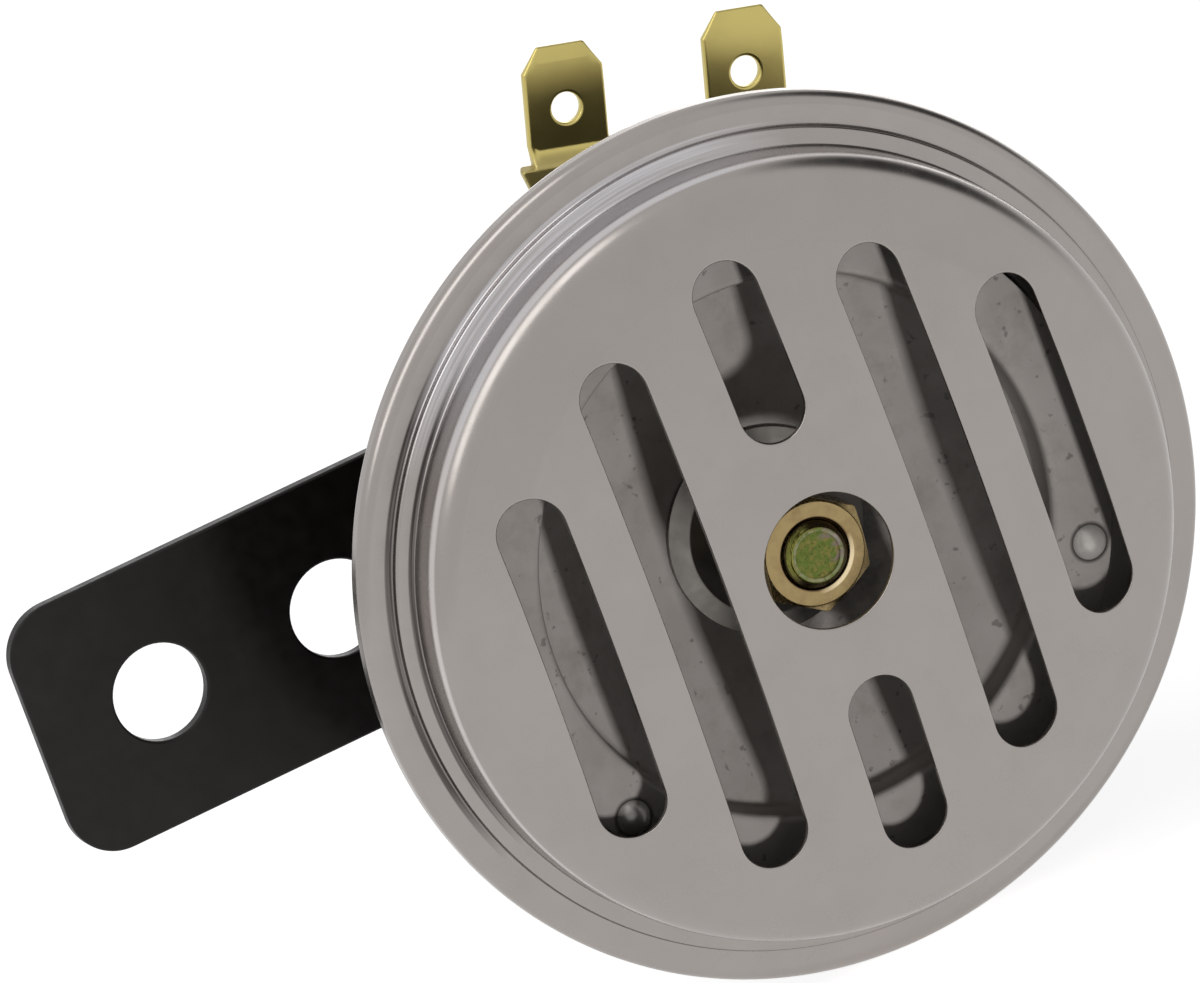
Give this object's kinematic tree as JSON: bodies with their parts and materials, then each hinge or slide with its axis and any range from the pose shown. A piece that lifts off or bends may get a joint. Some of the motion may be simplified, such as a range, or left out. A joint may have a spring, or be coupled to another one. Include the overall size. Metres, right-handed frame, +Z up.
{
  "type": "car horn",
  "caption": "Round electric disc horn with a domed slotted grille, flat blade terminals and a strap bracket with fixing holes.",
  "frame": {"origin": "midway between the bracket's two free holes, on the bracket's rear face; the horn's axis is parallel to Y at x = 32.85 mm, z = 0", "axes": "+Z up along the grille's slots, +Y out of the back of the horn along its axis, so the grille faces -Y; +X from the bracket's free end towards the horn"},
  "size_m": [0.0832, 0.0473, 0.0691],
  "materials": {
    "cover_metal": "satin, polished bright",
    "disc_metal": "dull plated, lightly stained",
    "yellow_zinc": "yellow passivated, satin",
    "pale_zinc": "plated, satin",
    "terminal_brass": "polished",
    "black_paint": "satin black",
    "black_zinc": "black plated",
    "gasket_fibre": "matt",
    "spring_steel": "satin",
    "soft_iron": "turned, bare",
    "fibre": "brown laminate",
    "bobbin_plastic": "black",
    "copper_winding": "enamelled copper",
    "contact_bronze": "rolled"
  },
  "bodies": {
    "housing": {"front_cover": "cover_metal", "front_gasket": "gasket_fibre", "diaphragm": "spring_steel", "rear_gasket": "gasket_fibre", "rear_housing": "black_paint", "pole_core": "soft_iron", "coil_bobbin": "bobbin_plastic", "coil_winding": "copper_winding", "yoke_plate": "soft_iron", "yoke_rivets": "soft_iron", "contact_insulator_base": "fibre", "moving_contact_arm": "contact_bronze", "contact_insulator_middle": "fibre", "fixed_contact_arm": "contact_bronze", "contact_insulator_top": "fibre", "contact_rivets": "contact_bronze", "adjusting_screw": "yellow_zinc", "adjusting_nut": "yellow_zinc", "terminal_left": "terminal_brass", "terminal_right": "terminal_brass", "terminal_insulator": "fibre", "inner_terminal_washers": "fibre", "terminal_rivets": "terminal_brass", "lead_wires": "copper_winding", "mounting_bracket": "black_paint", "rear_washer": "black_zinc", "rear_nut": "black_zinc"},
    "vibrating_set": {"armature": "soft_iron", "contact_pusher": "fibre", "hub_spacer": "pale_zinc", "tone_disc": "disc_metal", "damping_ring": "disc_metal", "tone_disc_rivets": "disc_metal", "flat_washer": "pale_zinc", "spring_washer": "pale_zinc", "clamp_nut": "yellow_zinc", "lock_nut": "yellow_zinc"}
  },
  "joints": [
    {"name": "armature_slide", "type": "slide", "parent": "housing", "child": "vibrating_set", "axis": [0, 1, 0], "range_m": [-0.0003, 0.00035], "stiffness_N_per_m": 2000, "deforming": ["diaphragm", "moving_contact_arm"]}
  ]
}
